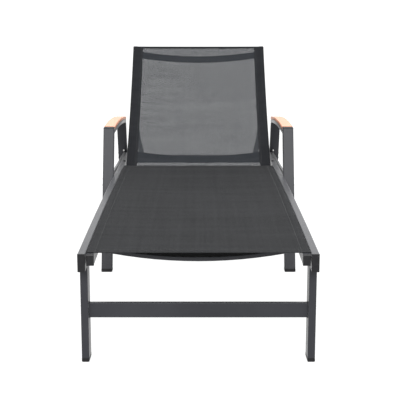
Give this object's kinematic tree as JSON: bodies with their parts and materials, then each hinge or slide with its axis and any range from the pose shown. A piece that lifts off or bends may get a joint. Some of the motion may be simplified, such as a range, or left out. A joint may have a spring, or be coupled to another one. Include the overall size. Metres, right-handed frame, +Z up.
{
  "type": "reclining sun lounger",
  "caption": "Low sun lounger with a metal tube frame, dark textile slings, wooden armrests and a ratchet backrest that reclines flat.",
  "frame": {"origin": "centre of the bounding box's underside, on the floor", "axes": "+X across the lounger, +Y from the foot end to the head end, +Z up"},
  "size_m": [0.7326, 2, 0.8138],
  "materials": {
    "powder_coat": "satin graphite powder coat on aluminium tube",
    "black_plastic": "fine-grained black polypropylene",
    "seat_textile": "dense plain weave of coated yarn",
    "back_textile": "open plain weave of coated yarn, slightly see-through",
    "teak": "oiled, straight grain along the arm",
    "stainless": "turned stainless steel"
  },
  "bodies": {
    "base": {"arm_front_post_left": "powder_coat", "arm_front_post_right": "powder_coat", "arm_lower_tube_left": "powder_coat", "arm_lower_tube_right": "powder_coat", "arm_post_cap_left": "black_plastic", "arm_post_cap_right": "black_plastic", "arm_rear_post_left": "powder_coat", "arm_rear_post_right": "powder_coat", "arm_top_tube_left": "powder_coat", "arm_top_tube_right": "powder_coat", "foot_cap_front_left": "black_plastic", "foot_cap_front_right": "black_plastic", "foot_cap_middle_left": "black_plastic", "foot_cap_middle_right": "black_plastic", "foot_cap_rear_left": "black_plastic", "foot_cap_rear_right": "black_plastic", "front_leg_crossbar": "powder_coat", "front_leg_left": "powder_coat", "front_leg_right": "powder_coat", "head_crossbar": "powder_coat", "hinge_bolt_left": "stainless", "hinge_bolt_right": "stainless", "hinge_bush_left": "black_plastic", "hinge_bush_right": "black_plastic", "rail_plug_left": "black_plastic", "rail_plug_right": "black_plastic", "ratchet_rack_left": "black_plastic", "ratchet_rack_right": "black_plastic", "rear_post_screw_left": "stainless", "rear_post_screw_right": "stainless", "seat_crossbar_front": "powder_coat", "seat_crossbar_middle": "powder_coat", "seat_crossbar_rear": "powder_coat", "seat_rail_cap_front_left": "black_plastic", "seat_rail_cap_front_right": "black_plastic", "seat_rail_cap_rear_left": "black_plastic", "seat_rail_cap_rear_right": "black_plastic", "seat_rail_left": "powder_coat", "seat_rail_right": "powder_coat", "seat_sling": "seat_textile", "side_rail_cap_front_left": "black_plastic", "side_rail_cap_front_right": "black_plastic", "side_rail_cap_rear_left": "black_plastic", "side_rail_cap_rear_right": "black_plastic", "side_rail_left": "powder_coat", "side_rail_right": "powder_coat", "teak_armrest_left": "teak", "teak_armrest_right": "teak"},
    "backrest": {"back_crossbar_bottom": "powder_coat", "back_crossbar_top": "powder_coat", "back_rail_cap_left": "black_plastic", "back_rail_cap_right": "black_plastic", "back_rail_left": "powder_coat", "back_rail_right": "powder_coat", "back_sling": "back_textile", "prop_pivot_pin_left": "stainless", "prop_pivot_pin_right": "stainless"},
    "prop": {"prop_arm_left": "powder_coat", "prop_arm_right": "powder_coat", "prop_rod": "powder_coat"}
  },
  "joints": [
    {"name": "backrest_recline", "type": "hinge", "parent": "base", "child": "backrest", "pos_m": [0, 0.335, 0.325], "axis": [1, 0, 0], "range_deg": [-36, 20]},
    {"name": "prop_fold", "type": "hinge", "parent": "backrest", "child": "prop", "pos_m": [0, 0.52219, 0.44984], "axis": [1, 0, 0], "range_deg": [-30.1, 54.1]}
  ],
  "couplings": [
    {"joint": "prop_fold", "follows": "backrest_recline", "ratio": -1.5}
  ]
}
